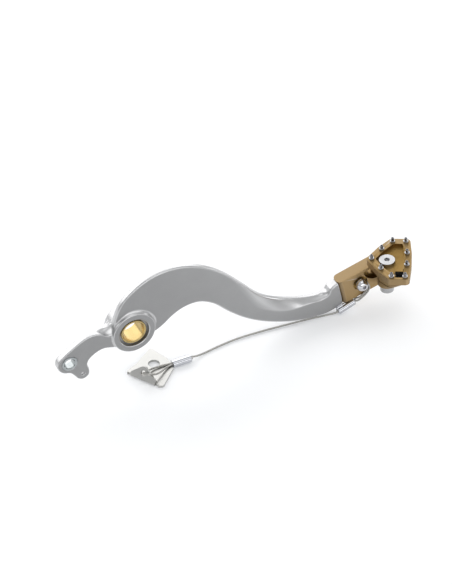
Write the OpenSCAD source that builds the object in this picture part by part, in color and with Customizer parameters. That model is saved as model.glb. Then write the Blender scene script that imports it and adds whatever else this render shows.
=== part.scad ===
// Rear brake pedal: a forged arm on a brass pivot bush, with a folding studded tip
// and a steel safety cable. Millimetres. The origin is the centre of the pivot bore,
// +X points forward to the tip, +Y to the motorcycle, +Z up.

/* [Pivot boss] */
// Outside diameter of the pivot boss
boss_d = 34; // [32:0.5:36]
// Length of the pivot boss along its bore
boss_l = 18; // [16:0.5:20]
// Diameter of the seal recess at each end of the bore
seal_d = 24; // [23:0.5:26]
// Depth of the seal recess
seal_depth = 4; // [3:0.25:5]
// Height of the boss above the near face of the arm
collar_h = 3; // [2:0.25:4]
// Radius of the fillet round the boss on the near face
collar_fillet = 3.5; // [2:0.25:4]

/* [Pivot bush] */
// Outside diameter of the brass bush
bush_d = 20; // [19:0.5:21]
// Bore of the brass bush
bush_bore = 17; // [15:0.25:17.5]
// Depth of the bush ends below the ends of the boss
bush_inset = 1.3; // [0.5:0.1:2]

/* [Arm] */
// Distance from the pivot to the root of the tip holder
arm_reach = 174.5; // [165:0.5:185]
// Thickness of the arm at the arch
arch_t = 5; // [4.5:0.25:6]
// Thickness of the arm at the tip end
tip_end_t = 9; // [8:0.25:9.5]
// Width of the flat top land beside the bevel
land_w = 4; // [3:0.25:4.4]
// Width of the broken edges of the arm
arm_edge = 0.8; // [0.4:0.1:1.2]

/* [Push rod lever] */
// Thickness of the lever
lever_t = 6; // [5:0.25:7]
// Depth of the lever below the near end of the boss
lever_set = 1.5; // [1:0.25:2.5]
// Outside diameter of the steel bush for the push rod pin
rod_bush_d = 12; // [11:0.5:13]
// Bore of the steel bush
rod_bush_bore = 8; // [6:0.5:9]
// Height of the steel bush above each face of the lever
rod_bush_proud = 0.4; // [0.2:0.1:0.8]
// Diameter of the return spring hole
spring_hole_d = 2.8; // [2:0.2:3.6]

/* [Tip holder] */
// Height of the tip holder
holder_h = 23; // [22:0.5:24]
// Thickness of the tip holder
holder_t = 10.5; // [10:0.25:11.5]
// Length of the tip holder
holder_l = 43; // [42:0.5:45]
// Upward slope of the tip holder
holder_pitch = 15; // [13:0.5:17]
// Radius of the corners at the root of the holder
holder_root_r = 4; // [2:0.25:5]
// Thickness of the tenon of the arm inside the holder
tenon_t = 5; // [4:0.25:5.5]
// Height of the tenon
tenon_h = 15; // [13:0.5:16]
// Length of the tenon
tenon_l = 20; // [18.5:0.5:21]
// Gap all round the tenon
tenon_gap = 0.1; // [0.05:0.05:0.2]
// Distance of the cable screw from the root of the holder
screw_x = 17.8; // [17.2:0.1:18.6]
// Height of the cable screw above the middle of the holder
screw_z = 0.4; // [-0.4:0.1:0.8]
// Diameter of the recess round the cable screw
recess_d = 12.4; // [12:0.2:12.6]
// Depth of the recess round the cable screw
recess_depth = 1.2; // [0.8:0.1:1.5]

/* [Knuckle] */
// Diameter of the knuckle pin
pin_d = 5; // [4:0.5:6]
// Distance of the knuckle pin from the end of the holder
pin_end = 8.5; // [7.5:0.25:9]
// Height of the knuckle slot in the holder
slot_h = 7; // [6:0.25:8]
// Length of the knuckle slot from the end of the holder
slot_l = 18; // [16:0.5:19]
// Length of the knuckle pin
pin_l = 22; // [20:0.5:23]
// Radius of the scoop beside the knuckle
scoop_r = 11; // [9.5:0.25:11]
// Depth of the scoop in the near face of the holder
scoop_depth = 3.6; // [2.5:0.1:4]
// Thickness of the holder above the scoop
scoop_roof = 2.4; // [2:0.1:3]
// Depth of the knuckle slot below the underside of the tip plate
slot_drop = 8.2; // [7.5:0.1:9]
// Gap above and below the tongue in the slot
tongue_gap = 0.25; // [0.15:0.05:0.4]
// Running gap on the radius of the knuckle pin
pin_gap = 0.05; // [0.02:0.01:0.08]

/* [Tip] */
// Distance of the tip bolt outboard of the knuckle pin
tip_out = 14.5; // [14:0.25:16]
// Distance of the tip bolt forward of the knuckle pin
tip_fwd = 1.2; // [0:0.1:2]
// Height of the underside of the tip plate above the pivot
tip_z = -5.2; // [-5.3:0.1:-3]
// Upward slope of the tip plate
tip_pitch = 4; // [3:0.5:5]
// Direction of the point of the tip plate
tip_turn = -32; // [-40:1:-20]
// Height of the tip plate
plate_h = 5.4; // [4.8:0.2:6.4]
// Thickness of the floor of the tip plate
floor_t = 2.6; // [2:0.2:3]
// Radius of the tip plate round each stud
stud_land = 3.7; // [3.4:0.1:4.2]
// Width of the raised rim of the tip plate
rim_w = 6.2; // [5.8:0.1:6.6]
// Radius of the corners of the pocket in the tip plate
pocket_r = 1.5; // [1:0.1:2]
// Diameter of the hub below the tip plate
hub_d = 15; // [14:0.25:15.5]
// Height of the hub
hub_h = 19; // [18:0.5:20]
// Depth of the window below the tip plate
window_depth = 6; // [4:0.5:7]
// Width of the window across the point of the tip plate
window_w = 4.8; // [4.2:0.1:5]
// Length of the window
window_d = 4.2; // [3.6:0.1:4.4]
// Height of the lip of the hub under the tip plate
hub_lip = 1.5; // [1.2:0.1:2]
// Height of the ring groove above the foot of the hub
groove_z = 5; // [4:0.25:5.5]

/* [Studs] */
// Thread diameter of a stud
stud_d = 3; // [2.5:0.25:3.25]
// Diameter of the stud collar
stud_collar_d = 4.2; // [3.8:0.1:4.6]
// Height of the stud collar
stud_collar_h = 1.2; // [1:0.1:1.6]
// Height of the pin of a stud above its collar
stud_pin_h = 2.6; // [2:0.1:3.2]
// Diameter of the pin of a stud
stud_pin_d = 2.4; // [2:0.1:2.8]
// Diameter of the hollow in the end of a stud
stud_hollow_d = 1.3; // [1:0.1:1.6]

/* [Tip bolt] */
// Thread diameter of the tip bolt
bolt_d = 6; // [5:0.5:6.5]
// Diameter of the low head of the tip bolt
bolt_head_d = 12.6; // [11.5:0.2:13]
// Height of the low head of the tip bolt
bolt_head_h = 2.2; // [1.8:0.1:2.6]
// Width across flats of the hexagon socket of the tip bolt
bolt_socket = 4; // [3:0.5:5]
// Gap on the radius of the tip bolt in the plate
bolt_gap = 0.05; // [0.02:0.01:0.1]
// Diameter of the nut below the hub
nut_d = 11; // [10:0.5:12]
// Height of the nut
nut_h = 6.4; // [5.5:0.1:7]

/* [Cable screw] */
// Diameter of the domed head of the cable screw
dome_d = 10.4; // [10:0.1:10.8]
// Height of the domed head
dome_h = 4.8; // [4.2:0.1:5.2]
// Diameter of the shoulder that the cable eye lies on
shoulder_d = 5.4; // [5.2:0.1:5.8]
// Thread diameter of the cable screw
screw_d = 5; // [4:0.5:6]
// Width across flats of the hexagon socket of the cable screw
screw_socket = 3; // [2.5:0.25:4]

/* [Cable] */
// Diameter of the wire rope
rope_d = 1.6; // [1.4:0.1:1.7]
// Width of a ferrule
ferrule_w = 6.6; // [6:0.1:6.8]
// Thickness of a ferrule
ferrule_t = 5.4; // [5:0.1:5.6]
// Length of a ferrule
ferrule_l = 15.5; // [14.5:0.25:16]
// Gap between the rope and each ferrule
ferrule_gap = 0.02; // [0.01:0.01:0.05]

/* [Frame bracket] */
// Thickness of the folded sheet
sheet_t = 2; // [1.8:0.1:2.2]
// Diameter of the frame bolt hole
frame_hole_d = 9; // [8:0.25:9]
// Diameter of the cable hole
rope_hole_d = 4.5; // [4.2:0.1:4.8]
// Angle between the flap and the plate
flap_rise = 65; // [60:1:70]
// Radius of the corners of the bracket
bracket_r = 2; // [1:0.25:2.5]

/* [Hidden] */
$fn = 48;
eps = 0.01;

// Faces of the boss, the arm and the lever
boss_near = -boss_l / 2;
arm_near = boss_near + collar_h;
lever_near = boss_near + lever_set;

// Outlines of the arm from the pivot to the holder, as [x, z], for the reach of the last point of the crown.
// The three lines run in step, so that point n of each is one rib of the arm.
crown = [[-16, 6], [-13.4, 16.5], [-8, 27.6], [1.6, 36.6], [13.8, 43.2], [27.4, 46.1], [42.5, 44.8],
    [57, 39.4], [69, 31.9], [80, 22.2], [92.5, 8.8], [106.5, -6.6], [120.5, -16.4], [135, -22.4],
    [149.5, -26.4], [160.5, -27.8], [165.8, -25.8], [168.6, -21.4], [174.5, -18.4]];
under = [[15, -8], [19.6, -6.6], [25.4, -3.2], [32, 1.9], [38.4, 5.4], [44.5, 7.2], [51, 7.6],
    [58, 6], [67.5, 0.2], [79.5, -11.6], [93, -22.7], [107, -31.2], [121.5, -37.6], [135.5, -42],
    [150, -44.4], [161, -45], [166.5, -44.6], [171, -43.6], [179.6, -40.2]];
crease = [[0, -4], [8, 0], [14, 4], [19, 8], [26, 10], [36, 11], [46, 11.2],
    [57.4, 10.2], [68, 6.2], [79.4, -0.6], [92.8, -9.6], [106.9, -19.2], [121, -26.2], [135, -29.8],
    [149.6, -29], [160.6, -29.2], [166, -27], [168.8, -22.6], [174.7, -19.4]];
// Share of the extra thickness and of the bevel that each rib has
swell = [0, 0, 0, 0, 0, 0, 0, 0, 0.05, 0.2, 0.45, 0.75, 0.95, 1, 1, 1, 1, 1, 1];
bevel = [0, 0, 0, 0, 0, 0, 0, 0.02, 0.15, 0.4, 0.7, 0.9, 1, 1.1, 1.25, 1.2, 0.6, 0.1, 0];
rib_steps = 3;
drawn_reach = crown[len(crown) - 1][0];

// Edge of the push rod lever, from the top of the boss round the eye and the spring lug
lever_edge = [[-9, 6], [-17.5, 1.6], [-23.4, 5.6], [-30.5, 8.4], [-38, 7.4], [-46.3, 3.2], [-55, -2.6],
    [-60.6, -8], [-60.8, -13.6], [-57, -18.4], [-51.6, -20.4], [-48.8, -23.6], [-45.6, -28], [-41.4, -29.4],
    [-37.2, -27], [-36.6, -22], [-37.8, -16.4], [-35, -11.6], [-29, -8], [-23.4, -7], [-16, -9], [-8, -12]];
rod_eye = [-51.6, -10.8];
spring_eye = [-41.8, -24.4];

// Place of the tip holder, at the middle of its root
holder_proud = 0.5;
holder_mid = [arm_reach + 2.6, arm_near + holder_t / 2 - holder_proud, -29.2];
pin_at = [holder_l - pin_end, 0];
pin_x = holder_mid[0] + pin_at[0] * cos(holder_pitch);
pin_y = holder_mid[1];
tip_at = [pin_x + tip_fwd, pin_y - tip_out, tip_z];
slot_top = -slot_drop;
screw_seat = -holder_t / 2 + recess_depth;
rope_over = 0.15;
shoulder_l = recess_depth + rope_d + 2 * rope_over;
screw_l = holder_t - recess_depth - 1;

// Stud places on the tip plate, along and across its point, from the tip bolt
stud_at = [[3.8, 21.2], [14.2, 21.2], [-4.4, 11.8], [-12, 0], [15.4, 7], [15.4, -7], [14.2, -21.2],
    [3.8, -21.2], [-4.4, -11.8]];
plate_order = [1, 0, 2, 3, 8, 7, 6, 5, 4];

// Table that the loose end of the cable lies on
table_z = -47.8;
rope_z = table_z + rope_d / 2 + 0.1;
front_ferrule = [182, -6.3, -43.2];
front_turn = 4;
front_rise = 15;
rear_ferrule = [38.8, -5.6, table_z + ferrule_t / 2 + 0.1];

// Distance between the two strands of the rope in a ferrule
eye_gap = rope_d + 0.1;

function lerp(a, b, t) = a + (b - a) * t;
function spline(p, i, t) =
    let (n = len(p), a = p[max(i - 1, 0)], b = p[i], c = p[min(i + 1, n - 1)], d = p[min(i + 2, n - 1)])
    0.5 * (2 * b + (c - a) * t + (2 * a - 5 * b + 4 * c - d) * t * t + (3 * b - a - 3 * c + d) * t * t * t);
function along(p, steps) = [for (i = [0 : len(p) - 2]) for (s = [0 : steps - 1]) spline(p, i, s / steps),
    p[len(p) - 1]];
function unit(v) = v / norm(v);

// Stretches the drawn outline between the boss and the holder to the reach asked for
function reach_x(x) = let (root = boss_d / 2)
    x <= root ? x : root + (x - root) * (arm_reach - root) / (drawn_reach - root);
function stretched(p) = [for (q = p) [reach_x(q[0]), q[1]]];

// One rib of the arm as nine points, from the far underside round to the near one, with
// every long edge broken
function rib(low, mid, top, far, land) =
    let (up = unit(top - low), e = arm_edge,
        at = function (q, y, d) [q[0] + up[0] * d, y, q[1] + up[1] * d],
        yt = far - land)
    [at(low, far - e, 0), at(low, far, e), at(top, far, -e), at(top, far - e, 0),
        at(top, max(arm_near + e, yt + e * 0.4), 0), at(top, max(arm_near, yt - e), -e),
        at(mid, arm_near, 0), at(low, arm_near, e), at(low, arm_near + e, 0)];

module tube(rings) {
    n = len(rings);
    m = len(rings[0]);
    polyhedron(
        points = [for (r = rings) for (q = r) q],
        faces = concat(
            [for (j = [1 : m - 2]) [0, j, j + 1]],
            [for (i = [0 : n - 2]) for (j = [0 : m - 1]) for (h = [0, 1])
                let (a = i * m + j, b = i * m + (j + 1) % m, c = a + m, d = b + m)
                h == 0 ? [a, c, b] : [b, c, d]],
            [for (j = [1 : m - 2]) [(n - 1) * m, (n - 1) * m + j + 1, (n - 1) * m + j]]));
}

module arm_blank() {
    low = along(stretched(under), rib_steps);
    top = along(stretched(crown), rib_steps);
    mid = along(stretched(crease), rib_steps);
    fat = along([for (s = swell) [s, 0]], rib_steps);
    cut = along([for (b = bevel) [b, 0]], rib_steps);
    tube([for (i = [0 : len(low) - 1])
        let (far = arm_near + lerp(arch_t, tip_end_t, fat[i][0]),
            full = far - arm_near,
            land = lerp(full, land_w, min(1, max(0, cut[i][0]))))
        rib(low[i], mid[i], top[i], far, land)]);
}

// Places its children at the root of the tip holder, along the holder
module at_holder() translate(holder_mid) rotate([0, -holder_pitch, 0]) children();

// Places its children at the tip bolt, on the underside of the tip plate
module at_tip() translate(tip_at) rotate([0, -tip_pitch, 0]) children();

// Places its children on the knuckle pin, at the height of the underside of the tip plate
module at_pin() at_tip() translate([-tip_fwd, tip_out, 0]) children();

module tenon(gap) {
    translate([-3, -tenon_t / 2 - gap, -tenon_h / 2 - gap])
        cube([tenon_l + 3 + gap, tenon_t + 2 * gap, tenon_h + 2 * gap]);
}

module boss() {
    rotate([90, 0, 0]) cylinder(d = boss_d, h = boss_l, center = true, $fn = 96);
}

// Side of the boss that the fillet runs along, in boss radii
fillet_side = [[-0.74, 0.9], [-0.45, 1.56], [0.08, 2.06], [1.65, 2], [1.56, -0.08], [1.24, -0.3]];

// Concave fillet between the boss and the near face of the arm, kept to the side of the arch
module fillet_ring() {
    r = boss_d / 2;
    f = collar_fillet;
    h = min(f, collar_h - 0.2);
    intersection() {
        translate([0, arm_near, 0]) rotate([90, 0, 0]) rotate_extrude($fn = 96)
            polygon(concat([[r - 1, -1], [r + f, -1]],
                [for (a = [0 : 15 : 90]) [r + f - f * sin(a), h - h * cos(a)]], [[r - 1, h]]));
        translate([0, arm_near + 1, 0]) rotate([90, 0, 0]) linear_extrude(height = collar_h + 2)
            polygon(r * fillet_side);
    }
}

module lever_plate() {
    translate([0, lever_near + lever_t, 0]) rotate([90, 0, 0])
        linear_extrude(height = lever_t) polygon(along(lever_edge, 3));
}

module pedal_arm() {
    color([0.78, 0.79, 0.8]) difference() {
        union() {
            difference() {
                arm_blank();
                at_holder() translate([0, -holder_t, -holder_h])
                    cube([holder_l, 2 * holder_t, 2 * holder_h]);
            }
            at_holder() tenon(0);
            boss();
            fillet_ring();
            lever_plate();
        }
        rotate([90, 0, 0]) {
            cylinder(d = bush_d, h = boss_l + 2, center = true, $fn = 96);
            for (s = [0, 1]) mirror([0, 0, s]) translate([0, 0, boss_l / 2 - seal_depth])
                cylinder(d = seal_d, h = seal_depth + 1, $fn = 96);
        }
        lever_mid() {
            translate([rod_eye[0], 0, rod_eye[1]]) rotate([90, 0, 0])
                cylinder(d = rod_bush_d, h = lever_t + 2, center = true, $fn = 64);
            translate([spring_eye[0], 0, spring_eye[1]]) rotate([90, 0, 0])
                cylinder(d = spring_hole_d, h = lever_t + 2, center = true, $fn = 32);
        }
        at_holder() translate([screw_x, 0, screw_z]) rotate([90, 0, 0])
            cylinder(d = screw_d, h = holder_t + 2, center = true);
    }
}

module lever_mid() translate([0, lever_near + lever_t / 2, 0]) children();

module ring(d, bore, l) {
    rotate([90, 0, 0]) difference() {
        cylinder(d = d, h = l, center = true, $fn = 96);
        cylinder(d = bore, h = l + 2, center = true, $fn = 96);
    }
}

module pivot_bush() {
    color([0.86, 0.68, 0.3]) ring(bush_d, bush_bore, boss_l - 2 * bush_inset);
}

module push_rod_bush() {
    color([0.72, 0.76, 0.78]) lever_mid() translate([rod_eye[0], 0, rod_eye[1]])
        ring(rod_bush_d, rod_bush_bore, lever_t + 2 * rod_bush_proud);
}

// Plan of the holder: rounded corners at the root and a round end at the knuckle
module holder_plan() {
    r = holder_root_r;
    h = holder_t / 2;
    polygon(concat(
        [for (a = [0 : 15 : 90]) [r - r * cos(a), -h + r - r * sin(a)]],
        [for (a = [-90 : 10 : 90]) [holder_l - h + h * cos(a), h * sin(a)]],
        [for (a = [90 : -15 : 0]) [r - r * cos(a), h - r + r * sin(a)]]));
}

module tip_holder() {
    color([0.68, 0.52, 0.3]) difference() {
        at_holder() difference() {
            translate([0, 0, -holder_h / 2]) linear_extrude(height = holder_h) holder_plan();
            tenon(tenon_gap);
            translate([screw_x, 0, screw_z]) rotate([90, 0, 0]) {
                cylinder(d = screw_d, h = holder_t + 2, center = true);
                translate([0, 0, -screw_seat]) cylinder(d = recess_d, h = 5);
            }
            scoop();
        }
        at_pin() {
            translate([0, 0, slot_top - slot_h]) {
                translate([-slot_l + pin_end + slot_h / 2, -holder_t, 0])
                    cube([2 * slot_l, 2 * holder_t, slot_h]);
                translate([-slot_l + pin_end + slot_h / 2, 0, slot_h / 2]) rotate([90, 0, 0])
                    cylinder(d = slot_h, h = 2 * holder_t, center = true);
            }
            translate([0, 0, -2 * holder_h]) cylinder(d = pin_d, h = 3 * holder_h);
        }
    }
}

// Round scoop in the near face that the hub swings into
module scoop() {
    intersection() {
        translate([pin_at[0] - 1, scoop_depth - holder_t / 2, holder_h / 2 - scoop_roof - 1])
            rotate([90, 0, 0]) cylinder(r = scoop_r, h = 10, $fn = 64);
        translate([0, -holder_t, -holder_h]) cube([holder_l + 5, 2 * holder_t, 1.5 * holder_h - scoop_roof]);
    }
}

module hexagon(af, h) cylinder(d = af / cos(30), h = h, $fn = 6);

module cable_screw() {
    color([0.62, 0.62, 0.64]) at_holder() translate([screw_x, screw_seat, screw_z]) rotate([90, 0, 0])
        difference() {
            union() {
                translate([0, 0, -screw_l]) cylinder(d = screw_d, h = screw_l + eps);
                cylinder(d = shoulder_d, h = shoulder_l);
                translate([0, 0, shoulder_l]) dome(dome_d, dome_h);
            }
            translate([0, 0, shoulder_l + dome_h - 2.4]) hexagon(screw_socket, 4);
        }
}

// Round head with a short straight skirt and a domed crown
module dome(d, h) {
    skirt = 0.8;
    crown = 60;
    rotate_extrude($fn = 48) polygon(concat([[0, 0], [d / 2, 0]],
        [for (a = [0 : 10 : crown]) [d / 2 * cos(a), skirt + (h - skirt) * sin(a) / sin(crown)]],
        [[0, h]]));
}

module knuckle_pin() {
    color([0.6, 0.6, 0.62]) at_pin() translate([0, 0, slot_top - slot_h / 2 - pin_l * 0.66])
        cylinder(d = pin_d, h = pin_l);
}

// Plan of the plate: rounded round each corner stud
module plate_plan(r) {
    hull() for (i = plate_order) translate(stud_at[i]) circle(r = r, $fn = 32);
}

// Pocket of the plate, inside the rim that carries the studs
module pocket_plan() {
    offset(r = pocket_r, $fn = 32) offset(delta = -rim_w - pocket_r) plate_plan(stud_land);
}

module tip_plate() {
    color([0.7, 0.54, 0.31]) at_tip() difference() {
        rotate([0, 0, tip_turn]) difference() {
            linear_extrude(height = plate_h) plate_plan(stud_land);
            translate([0, 0, floor_t]) linear_extrude(height = plate_h) pocket_plan();
            translate([0, 0, -1]) linear_extrude(height = plate_h + 2) window_plan();
            for (q = stud_at) translate([q[0], q[1], -1]) cylinder(d = stud_d, h = plate_h + 2);
        }
        translate([0, 0, -1]) cylinder(d = bolt_d + 2 * bolt_gap, h = plate_h + 2);
    }
}

// Window through the floor beside the far corner of the pocket
module window_plan() {
    translate(lerp(stud_at[5], stud_at[7], 0.66)) rotate(-9) square([window_w, window_d], center = true);
}

module tip_hub() {
    color([0.66, 0.5, 0.29]) at_tip() difference() {
        union() {
            difference() {
                hull() {
                    translate([0, 0, -hub_h]) cylinder(d = hub_d, h = groove_z);
                    translate([0, 0, -hub_lip]) linear_extrude(height = hub_lip) {
                        circle(d = hub_d, $fn = 32);
                        rotate(tip_turn) for (i = [5, 6])
                            translate(0.95 * stud_at[i]) circle(d = stud_land, $fn = 32);
                    }
                }
                translate([0, 0, groove_z - hub_h]) ring_groove();
                translate([0, 0, -window_depth]) linear_extrude(height = window_depth + 1)
                    rotate(tip_turn) window_plan();
            }
            tongue();
        }
        translate([0, 0, -hub_h - 1]) cylinder(d = bolt_d, h = hub_h + 2);
        translate([-tip_fwd, tip_out, -hub_h]) cylinder(d = pin_d + 2 * pin_gap, h = hub_h + 1);
    }
}

// Shallow groove round the foot of the hub
module ring_groove() {
    difference() {
        cylinder(d = hub_d + 30, h = 0.8);
        translate([0, 0, -1]) cylinder(d = hub_d - 1.2, h = 3);
    }
}

// Tongue of the hub in the knuckle slot, round the pin
module tongue() {
    w = holder_t - 1;
    translate([0, 0, slot_top - slot_h + tongue_gap]) linear_extrude(height = slot_h - 2 * tongue_gap) {
        translate([-tip_fwd, tip_out]) circle(d = w);
        polygon([[-tip_fwd - w / 2, tip_out], [-tip_fwd + w / 2, tip_out], [w / 2, 0], [-w / 2, 0]]);
    }
}

module tip_bolt() {
    color([0.8, 0.8, 0.82]) at_tip() difference() {
        union() {
            translate([0, 0, -hub_h - nut_h + 0.6]) cylinder(d = bolt_d, h = hub_h + nut_h - 0.6 + floor_t);
            translate([0, 0, floor_t]) cylinder(d = bolt_head_d, h = bolt_head_h);
        }
        translate([0, 0, floor_t + bolt_head_h - 1.6]) hexagon(bolt_socket, 3);
    }
}

module tip_nut() {
    color([0.78, 0.78, 0.8]) at_tip() translate([0, 0, -hub_h - nut_h]) difference() {
        cylinder(d = nut_d, h = nut_h);
        translate([0, 0, -1]) cylinder(d = bolt_d, h = nut_h + 2);
    }
}

// Threaded traction stud with a collar and a hollow-ended pin
module stud(i) {
    color([0.75, 0.75, 0.77]) at_tip() rotate([0, 0, tip_turn])
        translate([stud_at[i][0], stud_at[i][1], 0]) difference() {
            union() {
                translate([0, 0, 0.4]) cylinder(d = stud_d, h = plate_h - 0.4);
                translate([0, 0, plate_h]) {
                    cylinder(d = stud_collar_d, h = stud_collar_h);
                    cylinder(d = stud_pin_d, h = stud_collar_h + stud_pin_h);
                }
            }
            translate([0, 0, plate_h + stud_collar_h + stud_pin_h - 1.4]) cylinder(d = stud_hollow_d, h = 2);
        }
}

// Axes of the two ferrules, as the turns that lay the local X axis along them
module at_front_ferrule() translate(front_ferrule) rotate([0, -front_rise, front_turn]) children();
module at_rear_ferrule() translate(rear_ferrule) children();

// Oval sleeve with the two strands side by side through it
module ferrule() {
    d = rope_d + 2 * ferrule_gap;
    rotate([90, 0, 90]) difference() {
        linear_extrude(height = ferrule_l, center = true) intersection() {
            circle(d = ferrule_w, $fn = 64);
            square([ferrule_w, ferrule_t], center = true);
        }
        for (s = [-1, 1]) translate([s * eye_gap / 2, 0, 0])
            cylinder(d = d, h = ferrule_l + 2, center = true);
    }
}

module ferrule_front() { color([0.82, 0.83, 0.85]) at_front_ferrule() ferrule(); }
module ferrule_rear() { color([0.82, 0.83, 0.85]) at_rear_ferrule() ferrule(); }

// Folded sheet bracket: a plate that lies on the table and a flap that leans over it, whose free
// edge the cable eye is threaded round
plate_pts = [[24.4, 19.8], [30.9, 3.1], [30.6, -9.1], [15.3, -24], [10.3, -22], [-3.4, 0.2], [-2.4, 3.6],
    [7.1, 7.7]];
fold_from = plate_pts[5];
fold_to = plate_pts[4];
fold_l = norm(fold_to - fold_from);
fold_turn = atan2(fold_to[1] - fold_from[1], fold_to[0] - fold_from[0]);
frame_hole = [19.1, 1.8];
// Flap as [along the fold, up the flap], and the cable hole in it
flap_pts = [[0.8, 0], [1.6, 2.4], [10.4, 9.9], [13.6, 10.6], [fold_l - 0.6, 2], [fold_l - 0.6, 0]];
rope_hole = [12.9, 5.3];

// Places its children on the outer face of the flap, with the local X axis along the fold
module at_flap() translate([fold_from[0], fold_from[1], table_z + sheet_t])
    rotate([flap_rise, 0, fold_turn]) children();

// A point of the flap's frame: along the fold, up the flap and out of its outer face
function flap_at(a, s, out) = let (n = s * cos(flap_rise) - out * sin(flap_rise))
    [fold_from[0] + a * cos(fold_turn) - n * sin(fold_turn),
        fold_from[1] + a * sin(fold_turn) + n * cos(fold_turn),
        table_z + sheet_t + s * sin(flap_rise) + out * cos(flap_rise)];

module rounded(pts) offset(r = bracket_r, $fn = 24) offset(delta = -bracket_r) polygon(pts);

module frame_bracket() {
    color([0.85, 0.85, 0.84]) difference() {
        union() {
            translate([0, 0, table_z]) linear_extrude(height = sheet_t) difference() {
                rounded(plate_pts);
                translate(fold_from) rotate(fold_turn) translate([-1, -fold_l])
                    square([fold_l + 2, fold_l + sheet_t]);
            }
            translate([fold_from[0], fold_from[1], table_z + sheet_t]) rotate([0, 0, fold_turn])
                translate([bracket_r, sheet_t / sin(flap_rise), 0]) rotate([0, 90, 0])
                cylinder(r = sheet_t, h = fold_l - 2 * bracket_r);
            at_flap() translate([0, 0, -sheet_t]) linear_extrude(height = sheet_t) rounded(flap_pts);
        }
        translate([frame_hole[0], frame_hole[1], table_z - 1]) cylinder(d = frame_hole_d, h = sheet_t + 2);
        at_flap() translate([rope_hole[0], rope_hole[1], -sheet_t - 1])
            cylinder(d = rope_hole_d, h = sheet_t + 2);
    }
}

// Route of the rope
screw_mid = [holder_mid[0] + screw_x * cos(holder_pitch) - screw_z * sin(holder_pitch),
    holder_mid[2] + screw_x * sin(holder_pitch) + screw_z * cos(holder_pitch)];
eye_y = holder_mid[1] - holder_t / 2 - rope_over - rope_d / 2;
eye_r = shoulder_d / 2 + rope_d / 2 + 2 * rope_over;
turn_r = 2 * rope_d;
turn_mid = screw_mid + [2.7, -eye_r - turn_r];
function round_screw(a) = [screw_mid[0] + eye_r * cos(a), eye_y, screw_mid[1] + eye_r * sin(a)];
function under_screw(a) = [turn_mid[0] + turn_r * cos(a), eye_y, turn_mid[1] + turn_r * sin(a)];
function front_strand(x, side) = let (l = x * (ferrule_l / 2 + 0.5), s = side * eye_gap / 2)
    front_ferrule + s * [-sin(front_turn), cos(front_turn), 0]
        + l * [cos(front_rise) * cos(front_turn), cos(front_rise) * sin(front_turn), sin(front_rise)];
function rear_strand(x, side) = rear_ferrule + [x * (ferrule_l / 2 + 0.5), side * eye_gap / 2, 0];
route = concat(
    [rear_strand(1.1, -1), rear_strand(-1, -1), [24.8, -8.2, -44.3], [18.6, -12, -43],
        [13.8, -14.3, -41.4], flap_at(20.6, 7.2, -1), flap_at(19.2, 7, 1.9), flap_at(16.5, 6.2, 3.1),
        flap_at(13.8, 5.4, 2), flap_at(12.9, 5.3, -1), flap_at(13.2, 5.2, -3.8), [11.4, -5.6, -43.6],
        [15.6, -4.3, -44.4], [22.6, -4, -44.8], rear_strand(-1, 1), rear_strand(1, 1)],
    [[51.5, -4.6, -45.9], [58, -3.4, rope_z], [72, -1.2, rope_z], [90, 0.5, rope_z], [112, -0.2, rope_z],
        [134, -2, rope_z], [152, -3.7, rope_z], [163, -5.2, rope_z]],
    [for (x = [-1, 1]) front_strand(x, -1)],
    [[192.6, -7.4, -40.4], [195.6, eye_y, -38.9], [198.7, eye_y, -36.7], [201.1, eye_y, -34.1],
        [202.1, eye_y, -31.2], [201.6, eye_y, -28.4], [199.6, eye_y, -25.4]],
    [for (a = [30 : 40 : 270]) round_screw(a)],
    [for (a = [75, 35, -5, -45]) under_screw(a)],
    [[196.5, eye_y, -35.6], [193.7, -7.35, -37.6], [191.4, -5.4, -39.3]],
    [front_strand(1, 1), front_strand(-1, 1)]);

module safety_cable() {
    color([0.7, 0.69, 0.67]) rope(route);
}

// Carries a cross axis along a line of directions without twist
function carry(t, s, i = 0) = i == len(t) ? [] :
    let (q = unit(s - (s * t[i]) * t[i])) concat([q], carry(t, q, i + 1));

module rope(p) {
    n = len(p);
    t = [for (i = [0 : n - 1]) unit(p[min(i + 1, n - 1)] - p[max(i - 1, 0)])];
    s = carry(t, cross([0, 0, 1], t[0]));
    tube([for (i = [0 : n - 1]) [for (k = [0 : 7])
        p[i] + rope_d / 2 * (cos(k * 45) * s[i] + sin(k * 45) * cross(t[i], s[i]))]]);
}

pedal_arm();
pivot_bush();
push_rod_bush();
tip_holder();
cable_screw();
knuckle_pin();
tip_hub();
tip_plate();
tip_bolt();
tip_nut();
stud(0);  // stud_1
stud(1);  // stud_2
stud(2);  // stud_3
stud(3);  // stud_4
stud(4);  // stud_5
stud(5);  // stud_6
stud(6);  // stud_7
stud(7);  // stud_8
stud(8);  // stud_9
safety_cable();
ferrule_front();
ferrule_rear();
frame_bracket();
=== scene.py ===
"""Looks of a rear brake pedal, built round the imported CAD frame.

Lengths are metres. The origin is the centre of the pivot bore, +X points forward to the
tip, +Y to the motorcycle and +Z up. Every sub-assembly is a class with its sizes in
dataclass fields, and main() builds the classes in order.
"""

import logging
import math
from dataclasses import dataclass, field
from enum import Enum
from typing import Iterable, Sequence

import bmesh
import bpy
import numpy as np
from mathutils import Matrix, Vector


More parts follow.
